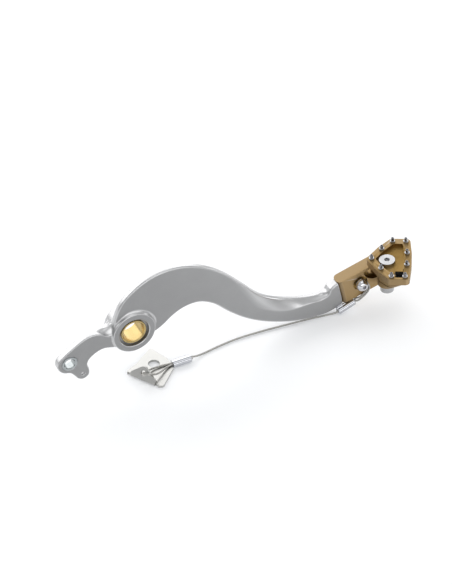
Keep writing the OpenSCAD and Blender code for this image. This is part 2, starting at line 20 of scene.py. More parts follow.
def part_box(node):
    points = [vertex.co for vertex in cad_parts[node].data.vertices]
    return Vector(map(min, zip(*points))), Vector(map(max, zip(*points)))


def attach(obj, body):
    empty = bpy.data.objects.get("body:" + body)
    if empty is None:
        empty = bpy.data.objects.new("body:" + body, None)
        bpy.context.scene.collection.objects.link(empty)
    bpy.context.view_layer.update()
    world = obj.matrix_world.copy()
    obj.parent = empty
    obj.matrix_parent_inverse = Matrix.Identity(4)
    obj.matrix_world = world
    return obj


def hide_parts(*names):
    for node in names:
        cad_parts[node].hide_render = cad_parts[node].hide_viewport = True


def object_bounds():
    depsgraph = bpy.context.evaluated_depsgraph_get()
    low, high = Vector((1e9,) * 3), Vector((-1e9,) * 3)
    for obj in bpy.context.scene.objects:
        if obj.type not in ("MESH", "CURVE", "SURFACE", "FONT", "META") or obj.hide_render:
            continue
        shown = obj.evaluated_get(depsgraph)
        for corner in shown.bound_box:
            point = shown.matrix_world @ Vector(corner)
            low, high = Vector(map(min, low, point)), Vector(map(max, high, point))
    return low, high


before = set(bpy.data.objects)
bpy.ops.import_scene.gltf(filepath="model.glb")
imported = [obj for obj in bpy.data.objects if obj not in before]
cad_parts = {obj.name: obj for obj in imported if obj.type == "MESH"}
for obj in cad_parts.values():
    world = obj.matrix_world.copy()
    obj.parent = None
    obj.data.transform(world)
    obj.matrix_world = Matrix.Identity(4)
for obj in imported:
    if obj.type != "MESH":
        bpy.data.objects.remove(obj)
CAD_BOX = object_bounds()

MM = 0.001
FLAT_FACED = 12000  # pieces with fewer faces get normals that keep their flat faces flat
MIX_FACTOR, MIX_A, MIX_B, MIX_RESULT = 0, 6, 7, 2  # sockets of a colour Mix node
SAME_POINT = 2e-6  # points of a CAD mesh that lie closer than this are one
FLAT_WITHIN = 0.6  # degrees by which the faces of one flat or round surface may turn
BOX_FACES = ((0, 1, 3, 2), (4, 6, 7, 5), (0, 4, 5, 1), (2, 3, 7, 6), (0, 2, 6, 4), (1, 5, 7, 3))
log = logging.getLogger("brake_pedal")

Point = Sequence[float]
Pair = tuple[float, float]
Triple = tuple[float, float, float]
Item = bpy.types.Object
Tree = bpy.types.NodeTree
Node = bpy.types.Node
Socket = bpy.types.NodeSocket


class Body(Enum):
    """The moving bodies of the pedal, by their names in the record."""

    PEDAL = "pedal"
    KNUCKLE = "knuckle"
    TIP = "tip"


class Grain(Enum):
    """How a metal was worked: its grain along X, Y and Z, small where it is drawn out."""

    EVEN = (1.0, 1.0, 1.0)
    MILLED = (0.25, 1.0, 1.0)
    TURNED_Y = (0.04, 1.0, 0.04)
    TURNED_Z = (0.04, 0.04, 1.0)
    DRAWN = (0.03, 1.0, 1.0)


# Finishes


@dataclass(frozen=True)
class Finish:
    """A metal finish: its colour, gloss and grain, and the record's slot that it stands for.

    Ranges are given as (from, to). The broad faces are those that look along the pivot axis; their
    colour is scaled by a painted shade, which fades to a second painted level towards the tip.
    """

    name: str
    slot: str
    colour: Triple
    roughness: float
    grain: Grain
    grain_per_m: float = 3000.0
    grain_depth: float = 0.00002
    grain_strength: float = 0.12
    roughness_spread: float = 0.08
    shade_spread: float = 0.05
    edge_light: float = 0.25
    metallic: float = 1.0
    # The next two fields paint shade on the broad faces: its level, and its level near the tip.
    painted_face_shade: float = 1.0
    painted_tip_shade: float = 1.0
    grain_detail: float = 2.0
    cloud_per_m: float = 90.0
    cloud_detail: float = 4.0
    least_roughness: float = 0.02
    worn_edges: Pair = (0.52, 0.62)
    worn_whiteness: float = 0.45
    painted_shade_facing: Pair = (0.93, 0.99)
    painted_shade_along: Pair = (0.02, 0.13)

    def material(self) -> bpy.types.Material:
        """Builds the finish once and gives the same material after that.

        Returns:
            The procedural material.
        """
        made = bpy.data.materials.get(self.name)
        if made is not None:
            return made
        made = bpy.data.materials.new(self.name)
        made.use_nodes = True
        self._build(made.node_tree)
        return made

    def _build(self, tree: Tree) -> None:
        """Lays the nodes: cloudy shade, worn edges, painted shade on the broad faces, uneven gloss
        and a fine grain bump.

        Args:
            tree: The node tree of a new material.
        """
        tree.nodes.clear()
        place = add_node(tree, "TexCoord").outputs
        cloud = add_node(
            tree, "TexNoise", place["Object"], Scale=self.cloud_per_m, Detail=self.cloud_detail
        )
        stretch = add_node(tree, "Mapping", place["Object"], Scale=self.grain.value)
        grain = add_node(
            tree, "TexNoise", stretch.outputs["Vector"],
            Scale=self.grain_per_m, Detail=self.grain_detail,
        ).outputs["Fac"]

        dark = tuple(c * (1.0 - self.shade_spread) for c in self.colour)
        light = tuple(min(1.0, c * (1.0 + self.shade_spread)) for c in self.colour)
        pale = tuple(c + (1.0 - c) * self.worn_whiteness for c in self.colour)
        shade = mix_colours(tree, cloud.outputs["Fac"], dark, light)
        edge = add_node(tree, "NewGeometry").outputs["Pointiness"]
        worn = map_range(tree, edge, self.worn_edges, (0.0, self.edge_light))
        base = mix_colours(tree, worn, shade, pale)
        # Painted shade: darkens or lightens the broad faces by the way they face.
        if self.painted_face_shade != 1.0:
            base = self._paint_face_shade(tree, base)

        smoothest = max(self.least_roughness, self.roughness - self.roughness_spread)
        spread = (smoothest, self.roughness + self.roughness_spread)
        gloss = map_range(tree, grain, (0.0, 1.0), spread)
        bump = add_node(tree, "Bump", Strength=self.grain_strength, Distance=self.grain_depth)
        tree.links.new(grain, bump.inputs["Height"])
        shader = add_node(tree, "BsdfPrincipled", base, Metallic=self.metallic)
        tree.links.new(gloss, shader.inputs["Roughness"])
        tree.links.new(bump.outputs["Normal"], shader.inputs["Normal"])
        add_node(tree, "OutputMaterial", shader.outputs["BSDF"])

    def _paint_face_shade(self, tree: Tree, base: Socket) -> Socket:
        """Multiplies the colour of the broad faces by a painted shade, which fades to another level
        near the tip.

        Args:
            tree: The node tree of the material.
            base: The colour that is shaded.

        Returns:
            The socket of the shaded colour.
        """
        place = add_node(tree, "TexCoord").outputs
        facing = add_node(tree, "SeparateXYZ", place["Normal"])
        across = add_node(tree, "Math", facing.outputs["Y"])
        across.operation = "ABSOLUTE"
        broad = map_range(tree, across.outputs[0], self.painted_shade_facing, (0.0, 1.0))
        where = add_node(tree, "SeparateXYZ", place["Object"])
        painted_shades = (self.painted_face_shade, self.painted_tip_shade)
        painted_shade_level = map_range(tree, where.outputs["X"], self.painted_shade_along, painted_shades)
        return mix_colours(tree, broad, base, painted_shade_level, "MULTIPLY")


def add_node(tree: Tree, kind: str, *sources: Socket, **levels: float | Triple) -> Node:
    """Adds a shader node, feeds its first inputs and sets others to a level of their own.

    Args:
        tree: The node tree that it is added to.
        kind: The kind of node.
        sources: The sockets that feed its first inputs, in order.
        levels: The levels of other inputs, by their names.

    Returns:
        The new node.
    """
    made = tree.nodes.new(f"ShaderNode{kind}")
    for entry, source in zip(made.inputs, sources):
        tree.links.new(source, entry)
    for name, level in levels.items():
        made.inputs[name].default_value = level
    return made


def mix_colours(
    tree: Tree, share: Socket, first: Socket | Triple, second: Socket | Triple, blend: str = "MIX"
) -> Socket:
    """Adds a node that mixes two colours.

    Args:
        tree: The node tree that it is added to.
        share: The socket that gives the share of the second colour.
        first: The first colour, as a socket or fixed.
        second: The second colour, as a socket or fixed.
        blend: How the colours are mixed.

    Returns:
        The socket of the mixed colour.
    """
    made = add_node(tree, "Mix")
    made.data_type, made.blend_type = "RGBA", blend
    for entry, source in ((MIX_FACTOR, share), (MIX_A, first), (MIX_B, second)):
        if isinstance(source, tuple):
            made.inputs[entry].default_value = (*source, 1.0)
        else:
            tree.links.new(source, made.inputs[entry])
    return made.outputs[MIX_RESULT]


def map_range(tree: Tree, value: Socket, source: Pair, target: Pair) -> Socket:
    """Adds a node that maps one range of a value onto another.

    Args:
        tree: The node tree that it is added to.
        value: The socket that gives the value.
        source: The range of the value, from and to.
        target: The range that it is mapped onto, from and to.

    Returns:
        The socket of the mapped value.
    """
    made = add_node(tree, "MapRange", value)
    for name, level in zip(("From Min", "From Max", "To Min", "To Max"), (*source, *target)):
        made.inputs[name].default_value = level
    return made.outputs["Result"]


@dataclass(frozen=True)
class Finishes:
    """Every finish on the pedal."""

    forging: Finish = Finish(
        "satin_blasted_aluminium", "arm_aluminium", (0.55, 0.55, 0.553), 0.34, Grain.EVEN,
        # Painted shade: broad faces darkened, a little less towards the tip.
        painted_face_shade=0.56, painted_tip_shade=0.66,
    )
    brass: Finish = Finish(
        "turned_brass", "bush_brass", (0.48, 0.352, 0.13), 0.24, Grain.TURNED_Y, 2600.0,
        grain_strength=0.3,
    )
    zinc: Finish = Finish(
        "bright_zinc_steel", "zinc_steel", (0.36, 0.385, 0.39), 0.24, Grain.TURNED_Y, 2200.0
    )
    gold: Finish = Finish(
        "bronze_anodised_aluminium", "gold_aluminium", (0.265, 0.165, 0.05), 0.46, Grain.MILLED,
        # Painted light: broad faces lightened by 1.3.
        2200.0, grain_strength=0.25, edge_light=0.6, painted_face_shade=1.3, painted_tip_shade=1.3,
    )
    stainless: Finish = Finish(
        "turned_stainless", "stainless", (0.42, 0.42, 0.43), 0.28, Grain.TURNED_Z, 2600.0
    )
    stud: Finish = Finish(
        "dark_stud_steel", "stainless", (0.2, 0.2, 0.21), 0.16, Grain.EVEN, 2600.0
    )
    wire: Finish = Finish(
        "drawn_stainless_wire", "stainless", (0.42, 0.41, 0.385), 0.3, Grain.DRAWN, 4000.0
    )
    polished: Finish = Finish(
        "polished_steel", "polished_steel", (0.5, 0.5, 0.52), 0.06, Grain.EVEN, 900.0,
        roughness_spread=0.02,
    )
    ferrule: Finish = Finish(
        "polished_drawn_aluminium", "ferrule_aluminium", (0.56, 0.57, 0.6), 0.14, Grain.DRAWN,
        1800.0,
    )
    bracket: Finish = Finish(
        "polished_bracket_sheet", "bracket_steel", (0.45, 0.445, 0.425), 0.36, Grain.MILLED, 2200.0
    )
    # Painted shade: a near-black wall colour for the tip window, where only shade falls.
    shade: Finish = Finish(
        "painted_shade_window_wall", "gold_aluminium", (0.012, 0.011, 0.01), 0.9, Grain.EVEN,
        edge_light=0.0, metallic=0.0,
    )


FINISHES = Finishes()


# Mesh work


def smooth_line(points: Iterable[Point], steps: int) -> np.ndarray:
    """Runs a smooth line through points, as the CAD source does.

    Args:
        points: The points that the line goes through.
        steps: How many spans each gap between two points is cut into.

    Returns:
        The points of the smooth line.
    """
    p = np.array(list(points), float)
    before, here = np.vstack([p[:1], p[:-2]]), p[:-1]
    there, after = p[1:], np.vstack([p[2:], p[-1:]])
    square = 2 * before - 5 * here + 4 * there - after
    cube = 3 * here - before - 3 * there + after
    rows = [
        0.5 * (2 * here + (there - before) * t + square * t**2 + cube * t**3)
        for t in np.arange(steps) / steps
    ]
    line = np.stack(rows, axis=1).reshape(-1, p.shape[1])
    return np.vstack([line, p[-1:]])


def between(a: np.ndarray, b: np.ndarray, begin: float, end: float, t: float) -> np.ndarray:
    """The point at t on the straight line that is at a for begin and at b for end."""
    return ((end - t) * a + (t - begin) * b) / (end - begin)


def even_line(points: Iterable[Point], step: float, fine: int = 24) -> np.ndarray:
    """Runs a smooth line through unevenly spaced points without overshooting them.

    Args:
        points: The points that the line goes through.
        step: The spacing of the points of the line.
        fine: How many spans each gap is first cut into.

    Returns:
        The points of the line, evenly spaced.
    """
    p = np.array(list(points), float)
    gaps = np.linalg.norm(np.diff(p, axis=0), axis=1)
    knots = np.concatenate([[0.0], np.cumsum(np.sqrt(gaps))])
    p = np.vstack([2 * p[0] - p[1], p, 2 * p[-1] - p[-2]])
    knots = np.concatenate([[knots[0] - knots[1]], knots, [2 * knots[-1] - knots[-2]]])
    rows = []
    for i in range(1, len(p) - 2):
        k, q = knots[i - 1 : i + 3], p[i - 1 : i + 3]
        for t in np.linspace(k[1], k[2], fine, endpoint=False):
            first = [between(q[n], q[n + 1], k[n], k[n + 1], t) for n in range(3)]
            second = [between(first[n], first[n + 1], k[n], k[n + 2], t) for n in range(2)]
            rows.append(between(second[0], second[1], k[1], k[2], t))
    line = np.array([*rows, p[-2]])
    along = np.concatenate([[0.0], np.cumsum(np.linalg.norm(np.diff(line, axis=0), axis=1))])
    at = np.linspace(0.0, along[-1], int(along[-1] / step) + 1)
    return np.stack([np.interp(at, along, line[:, k]) for k in range(3)], axis=1)


def new_object(name: str, points: Iterable[Point], faces: Iterable[Sequence[int]]) -> Item:
    """Makes a mesh object with outward faces in the scene.

    Args:
        name: The object's name.
        points: Its vertices in metres.
        faces: Its faces, as lists of vertex numbers.

    Returns:
        The new object.
    """
    mesh = bpy.data.meshes.new(name)
    places = [tuple(map(float, p)) for p in points]
    mesh.from_pydata(places, [], [tuple(map(int, f)) for f in faces])
    work = bmesh.new()
    work.from_mesh(mesh)
    bmesh.ops.recalc_face_normals(work, faces=work.faces)
    work.to_mesh(mesh)
    work.free()
    made = bpy.data.objects.new(name, mesh)
    bpy.context.scene.collection.objects.link(made)
    return made


def skin_rings(rings: Sequence[np.ndarray]) -> tuple[np.ndarray, list[list[int]]]:
    """Skins closed rings of equal length into a closed tube.

    Args:
        rings: The rings, each an array of points.

    Returns:
        The points and the faces, with both ends capped.
    """
    count, size = len(rings), len(rings[0])
    faces = []
    for i in range(count - 1):
        here, there = i * size, (i + 1) * size
        for j in range(size):
            n = (j + 1) % size
            faces.append([here + j, here + n, there + n, there + j])
    faces.append(list(range(size)))
    faces.append(list(range((count - 1) * size, count * size)))
    return np.vstack(rings), faces


def whole_turn(sides: int) -> list[float]:
    """Angles of a whole turn in equal steps, in radians."""
    return [2 * math.pi * k / sides for k in range(sides)]


def quarter_turn(steps: int) -> list[float]:
    """Angles of a quarter turn in equal steps with both ends, in radians."""
    return [math.pi / 2 * k / steps for k in range(steps + 1)]


def turned(
    name: str, profile: Sequence[Pair], place: Matrix, sides: int, closed: bool = False
) -> Item:
    """Turns a profile about the local Z axis, as on a lathe.

    Args:
        name: The object's name.
        profile: Points as (radius, height).
        place: Where the turned piece goes.
        sides: How many sides the turned surface has.
        closed: True if the profile is a loop, as for a ring.

    Returns:
        The new object.
    """
    angles = whole_turn(sides)
    points, rows = [], []
    for radius, height in profile:
        start, steps = len(points), angles if radius > 0 else [0.0]
        points += [(radius * math.cos(a), radius * math.sin(a), height) for a in steps]
        rows.append(range(start, len(points)))
    pairs = list(zip(rows, rows[1:]))
    if closed:
        pairs.append((rows[-1], rows[0]))
    faces = []
    for low, high in pairs:
        for k in range(sides):
            n = (k + 1) % sides
            lower = [low[k % len(low)], low[n % len(low)]]
            upper = [high[n % len(high)], high[k % len(high)]]
            faces.append(list(dict.fromkeys([*lower, *upper])))
    made = new_object(name, points, faces)
    made.data.transform(place)
    return made


def mirrored(profile: Sequence[Pair]) -> list[Pair]:
    """Adds the upper half to the lower half of a profile of (radius, height)."""
    return [*profile, *((radius, -height) for radius, height in reversed(profile))]


def rounded_bar(radius: float, half: float, edge: float, steps: int = 4) -> list[Pair]:
    """Profile of a round bar with rounded rims, for turned().

    Args:
        radius: Radius of the bar.
        half: Half of its length.
        edge: Radius of both rims.
        steps: How many spans each rim has.

    Returns:
        The profile, closed on the axis at both ends.
    """
    turns = quarter_turn(steps)
    rim = [(radius - edge + edge * math.sin(a), edge - half - edge * math.cos(a)) for a in turns]
    return mirrored([(0.0, -half), *rim])


def bush_ring(
    half: float, inner: float, outer: float, mouth: float = 0.5 * MM, rim: float = 0.3 * MM
) -> list[Pair]:
    """Profile of a bush with chamfered ends, for turned().

    Args:
        half: Half of its length.
        inner: Radius of its bore.
        outer: Its outer radius.
        mouth: Chamfer of the bore.
        rim: Chamfer of the outer edge.

    Returns:
        The profile as a loop.
    """
    bore = [(inner, mouth - half), (inner + mouth, -half)]
    return mirrored([*bore, (outer - rim, -half), (outer, rim - half)])


def apply_modifiers(item: Item) -> Item:
    """Bakes an object's modifiers into its mesh.

    Args:
        item: The object.

    Returns:
        The same object.
    """
    bpy.context.view_layer.update()
    shown = item.evaluated_get(bpy.context.evaluated_depsgraph_get())
    done = bpy.data.meshes.new_from_object(shown)
    old = item.data
    item.modifiers.clear()
    item.data = done
    bpy.data.meshes.remove(old)
    return item


def carve(item: Item, cutters: Iterable[Item]) -> Item:
    """Cuts other objects out of an object and removes them.

    Args:
        item: The object that stays.
        cutters: The objects that it is cut with.

    Returns:
        The object that stays.
    """
    cutters = list(cutters)
    for cutter in cutters:
        cut = item.modifiers.new("cut", "BOOLEAN")
        cut.operation, cut.object, cut.solver = "DIFFERENCE", cutter, "EXACT"
    apply_modifiers(item)
    for cutter in cutters:
        bpy.data.objects.remove(cutter)
    return item


def ease_edges(item: Item, width: float, angle: float = 32.0, segments: int = 2) -> Item:
    """Rounds the sharp edges of a machined piece.

    Args:
        item: The object.
        width: How far the rounding reaches from an edge.
        angle: Edges sharper than this, in degrees, are rounded.
        segments: How many faces the rounding has.

    Returns:
        The same object.
    """
    ease = item.modifiers.new("ease", "BEVEL")
    ease.width, ease.segments, ease.limit_method = width, segments, "ANGLE"
    ease.angle_limit = math.radians(angle)
    ease.use_clamp_overlap = True
    ease.miter_outer = "MITER_ARC"
    return apply_modifiers(item)


def machined_copy(node: str, name: str, width: float) -> Item:
    """Copies a CAD node into a new piece with flat faces made whole and edges eased.

    Args:
        node: The CAD node.
        name: The new piece's name.
        width: How far the eased edges reach.

    Returns:
        The new object.
    """
    work = bmesh.new()
    work.from_mesh(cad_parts[node].data)
    bmesh.ops.remove_doubles(work, verts=work.verts, dist=SAME_POINT)
    flat = math.radians(FLAT_WITHIN)
    bmesh.ops.dissolve_limit(work, angle_limit=flat, verts=work.verts, edges=work.edges)
    points = [tuple(v.co) for v in work.verts]
    work.verts.index_update()
    faces = [[v.index for v in f.verts] for f in work.faces]
    work.free()
    return ease_edges(new_object(name, points, faces), width)


def dress(item: Item, finish: Finish, body: Body, node: str, crease: float = 38.0) -> Item:
    """Shades a piece, gives it its finish and hangs it on its body.

    Flat faces stay flat up to the rounded edges beside them.

    Args:
        item: The piece.
        finish: Its finish.
        body: The body that it moves with.
        node: The CAD node that it stands for.
        crease: Edges sharper than this, in degrees, stay sharp.

    Returns:
        The same piece.
    """
    mesh = item.data
    mesh.polygons.foreach_set("use_smooth", [True] * len(mesh.polygons))
    mesh.set_sharp_from_angle(angle=math.radians(crease))
    mesh.materials.clear()
    mesh.materials.append(finish.material())
    if len(mesh.polygons) < FLAT_FACED:
        even = item.modifiers.new("even", "WEIGHTED_NORMAL")
        even.mode, even.keep_sharp = "FACE_AREA", True
        mesh = apply_modifiers(item).data
    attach(item, body.value)
    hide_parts(node)
    log.info("%s: %d faces, rides on %s", item.name, len(mesh.polygons), body.value)
    return item


def make_box(name: str, place: Matrix, x: Pair, y: Pair, z: Pair) -> Item:
    """Makes a box.

    Args:
        name: The object's name.
        place: Where its own axes stand.
        x: Its reach along its first axis, from and to.
        y: Its reach along its second axis.
        z: Its reach along its third axis.

    Returns:
        The new object.
    """
    corners = [place @ Vector((a, b, c)) for a in x for b in y for c in z]
    return new_object(name, corners, BOX_FACES)


# Camera, floor and light


@dataclass
class Studio:
    """A pale floor, four soft lamps, a plain room and the camera at the photograph's angle."""

    azimuth: float = -26.612
    elevation: float = 39.071
    distance: float = 1.3
    target: Triple = (0.079555, 0.0, 0.003637)
    lens: float = 106.34
    sensor: float = 36.0
    clip: Pair = (0.01, 40.0)
    floor_half: float = 6.0
    floor_drop: float = 0.0002
    floor_grey: float = 0.86
    floor_lift: Triple = (0.14, 0.146, 0.155)
    sky: Triple = (0.98, 0.99, 1.0)
    room_level: float = 0.1
    ceiling_level: float = 0.66
    room_height: Pair = (0.036, 0.18)
    lamps: list[tuple[str, Triple, Pair, float]] = field(
        default_factory=lambda: [
            ("back_softbox", (0.0, 1.0, 0.56), (2.7, 0.95), 13.3),
            ("overhead_softbox", (0.1, -0.2, 1.15), (0.9, 0.7), 1.6),
            ("front_softbox", (0.1, -1.15, 0.52), (1.8, 0.55), 4.6),
            ("side_softbox", (1.25, 0.1, 0.38), (0.5, 0.4), 1.6),
        ]
    )

    def build(self) -> None:
        """Makes the camera, the floor, the world and the lamps."""
        self._camera()
        self._floor()
        self._world()
        for name, place, size, watts in self.lamps:
            self._lamp(name, Vector(place), size, watts)
        bpy.context.scene.view_settings.view_transform = "Standard"

    def _camera(self) -> None:
        """Puts the camera where the photograph was taken from."""
        a, e = math.radians(self.azimuth), math.radians(self.elevation)
        back = Vector((math.sin(a) * math.cos(e), -math.cos(a) * math.cos(e), math.sin(e)))
        camera = bpy.data.objects.new("camera", bpy.data.cameras.new("camera"))
        bpy.context.scene.collection.objects.link(camera)
        camera.data.lens = self.lens
        camera.data.sensor_width = self.sensor
        camera.data.clip_start, camera.data.clip_end = self.clip
        camera.location = Vector(self.target) + back * self.distance
        camera.rotation_mode = "QUATERNION"
        camera.rotation_quaternion = (-back).to_track_quat("-Z", "Y")
        bpy.context.scene.camera = camera

    def _floor(self) -> None:
        """Lays the floor just under the lowest point of the CAD model."""
        level = CAD_BOX[0].z - self.floor_drop
        half = self.floor_half
        signs = ((-1, -1), (1, -1), (1, 1), (-1, 1))
        floor = new_object("floor", [(half * x, half * y, level) for x, y in signs], [(0, 1, 2, 3)])
        made = bpy.data.materials.new("pale_floor")
        made.use_nodes = True
        tree = made.node_tree
        tree.nodes.clear()
        grey = (self.floor_grey,) * 3
        matt = add_node(tree, "BsdfDiffuse", Color=(*grey, 1.0)).outputs[0]
        glow = add_node(tree, "Emission", Color=(*self.floor_lift, 1.0)).outputs[0]
        both = add_node(tree, "AddShader", matt, glow).outputs[0]
        pick = add_node(tree, "MixShader", seen_directly(tree), matt, both)
        add_node(tree, "OutputMaterial", pick.outputs[0])
        floor.data.materials.append(made)

    def _world(self) -> None:
        """A plain room, dim at eye level and pale overhead, that the metal reflects."""
        world = bpy.data.worlds.new("studio")
        bpy.context.scene.world = world
        world.use_nodes = True
        tree = world.node_tree
        tree.nodes.clear()
        place = add_node(tree, "TexCoord")
        split = add_node(tree, "SeparateXYZ", place.outputs["Generated"])
        levels = (self.room_level, self.ceiling_level)
        level = map_range(tree, split.outputs["Z"], self.room_height, levels)
        room = add_node(tree, "Background", Color=(*self.sky, 1.0))
        tree.links.new(level, room.inputs["Strength"])
        add_node(tree, "OutputWorld", room.outputs[0])

    def _lamp(self, name: str, place: Vector, size: Pair, watts: float) -> None:
        """Hangs one soft rectangular lamp that faces the object.

        Args:
            name: The lamp's name.
            place: Where it hangs.
            size: Its width and depth.
            watts: Its power.
        """
        data = bpy.data.lights.new(name, "AREA")
        data.shape, data.energy = "RECTANGLE", watts
        data.size, data.size_y = size
        lamp = bpy.data.objects.new(name, data)
        lamp.location = place
        lamp.rotation_mode = "QUATERNION"
        lamp.rotation_quaternion = (Vector(self.target) - place).to_track_quat("-Z", "Y")
        bpy.context.scene.collection.objects.link(lamp)


def seen_directly(tree: Tree) -> Socket:
    """Adds nodes that are 1 where a camera, glossy or transmission ray sees a surface.

    Args:
        tree: The node tree that they are added to.

    Returns:
        The socket that carries the answer.
    """
    path = add_node(tree, "LightPath")
    answer = path.outputs["Is Camera Ray"]
    for ray in ("Is Glossy Ray", "Is Transmission Ray"):
        either = add_node(tree, "Math", answer, path.outputs[ray])
        either.operation = "MAXIMUM"
        answer = either.outputs[0]
    return answer


# Safety cable


@dataclass
class SafetyCable:
    """Wire rope with an eye at each end, its two ferrules and the frame bracket.

    Each ferrule has its place and the depth of its groove, as a share of its height.
    """

    diameter: float = 1.6 * MM
    strands: int = 6
    lay_length: float = 9.0 * MM
    strand_sides: int = 6
    ferrule_length: float = 15.5 * MM
    ferrule_width: float = 6.6 * MM
    ferrule_height: float = 5.4 * MM
    ferrule_rim: float = 0.45 * MM
    rim_steps: int = 5
    roundness: float = 0.8
    groove_width: float = 0.14
    bracket_edge: float = 0.25 * MM
    sleeve_sides: int = 72
    ferrule_places: dict[str, tuple[Matrix, float]] = field(
        default_factory=lambda: {
            "front": (
                Matrix.Translation((182 * MM, -6.3 * MM, -43.2 * MM))
                @ Matrix.Rotation(math.radians(4), 4, "Z")
                @ Matrix.Rotation(math.radians(-15), 4, "Y"),
                0.28,
            ),
            "rear": (Matrix.Translation((38.8 * MM, -5.6 * MM, -45.0 * MM)), 0.04),
        }
    )
    step: float = 0.45 * MM
    route_mm: tuple[Triple, ...] = (
        (47.88, -6.45, -45.0), (30.55, -6.45, -45.0), (24.8, -8.2, -44.3), (18.6, -12.0, -43.0),
        (13.8, -14.3, -41.4), (10.78, -15.26, -39.7), (7.74, -15.49, -38.65),
        (5.1, -13.94, -38.87), (4.25, -11.3, -40.06), (6.05, -9.13, -41.42),
        (8.33, -8.07, -42.69), (11.4, -5.6, -43.6), (15.6, -4.3, -44.4), (22.6, -4.0, -44.8),
        (30.55, -4.75, -45.0), (47.05, -4.75, -45.0), (51.5, -4.6, -45.9), (58.0, -3.4, -46.9),
        (72.0, -1.2, -46.9), (90.0, 0.5, -46.9), (112.0, -0.2, -46.9), (134.0, -2.0, -46.9),
        (152.0, -3.7, -46.9), (163.0, -5.2, -46.9), (174.11, -7.7, -45.34),
        (190.01, -6.59, -41.06), (192.6, -7.4, -40.4), (195.6, -7.45, -38.9),
        (198.7, -7.45, -36.7), (201.1, -7.45, -34.1), (202.1, -7.45, -31.2),
        (201.6, -7.45, -28.4), (199.6, -7.45, -25.4), (197.48, -7.45, -22.31),
        (195.49, -7.45, -20.64), (192.89, -7.45, -20.64), (190.9, -7.45, -22.31),
        (190.45, -7.45, -24.87), (191.75, -7.45, -27.12), (194.19, -7.45, -28.01),
        (197.72, -7.45, -28.12), (199.51, -7.45, -29.37), (200.08, -7.45, -31.49),
        (199.15, -7.45, -33.47), (196.5, -7.45, -35.6), (193.7, -7.35, -37.6),
        (191.4, -5.4, -39.3), (189.89, -4.9, -41.06), (173.99, -6.01, -45.34),
    )

    def build(self) -> None:
        line = even_line(np.array(self.route_mm) * MM, self.step)
        rope = dress(self._rope(line), FINISHES.wire, Body.PEDAL, "safety_cable", crease=80.0)
        pieces = [
            dress(self._sleeve(end), FINISHES.ferrule, Body.PEDAL, f"ferrule_{end}")
            for end in ("front", "rear")
        ]
        bracket = machined_copy("frame_bracket", "folded_frame_bracket", self.bracket_edge)
        pieces.append(dress(bracket, FINISHES.bracket, Body.PEDAL, "frame_bracket"))

    def _sleeve(self, end: str) -> Item:
        """A crimped sleeve round both strands, pressed in along its middle.

        Args:
            end: "front" or "rear".

        Returns:
            The sleeve as one closed mesh.
        """
        place, groove = self.ferrule_places[end]
        half, rim = self.ferrule_length / 2, self.ferrule_rim
        along = [
            (-half + rim - rim * math.cos(a), rim - rim * math.sin(a))
            for a in quarter_turn(self.rim_steps)
        ]
        along += [(-x, inset) for x, inset in reversed(along)]
        rings = []
        for x, inset in along:
            ring = []
            for a in whole_turn(self.sleeve_sides):
                y = (self.ferrule_width / 2 - inset) * math.cos(a)
                rise = math.copysign(abs(math.sin(a)) ** self.roundness, math.sin(a))
                high = (self.ferrule_height / 2 - inset) * rise
                across = y / (self.groove_width * self.ferrule_width)
                pressed = 1.0 - groove * math.exp(-(across**2))
                ring.append(place @ Vector((x, y, high * pressed)))
            rings.append(np.array(ring))
        return new_object(f"crimped_ferrule_{end}", *skin_rings(rings))

    def _rope(self, line: np.ndarray) -> Item:
        """Lays the outer strands in a helix round a straight core strand of the same size.

        Args:
            line: The centreline of the rope.

        Returns:
            The rope as one mesh.
        """
        at = np.arange(len(line)) * self.step
        side, up = travelling_axes(line)
        radius = self.diameter / 6
        around = [(math.cos(a), math.sin(a)) for a in whole_turn(self.strand_sides)]
        points, faces = [], []
        for k in range(self.strands + 1):
            turn = 2 * math.pi * (at / self.lay_length + k / self.strands)
            reach = 0.0 if k == self.strands else 2 * radius
            middle = line + reach * (np.cos(turn)[:, None] * side + np.sin(turn)[:, None] * up)
            own_side, own_up = travelling_axes(middle)
            rings = [
                np.array([centre + radius * (c * a + s * b) for c, s in around])
                for centre, a, b in zip(middle, own_side, own_up)
            ]
            start = sum(len(p) for p in points)
            ring_points, ring_faces = skin_rings(rings)
            points.append(ring_points)
            faces += [[start + v for v in f] for f in ring_faces]
        return new_object("stranded_wire_rope", np.vstack(points), faces)


def travelling_axes(line: np.ndarray) -> tuple[np.ndarray, np.ndarray]:
    """Carries a pair of cross axes along a line without twist.

    Args:
        line: Points of the line.

    Returns:
        The two axes across the line, one row for each point.
    """
    ahead = np.gradient(line, axis=0)
    ahead /= np.linalg.norm(ahead, axis=1)[:, None]
    side = np.zeros_like(line)
    first = np.cross(ahead[0], (0.0, 0.0, 1.0))
    side[0] = first / np.linalg.norm(first)
    for i in range(1, len(line)):
        flat = side[i - 1] - ahead[i] * (side[i - 1] @ ahead[i])
        side[i] = flat / np.linalg.norm(flat)
    return side, np.cross(ahead, side)


# Pedal arm


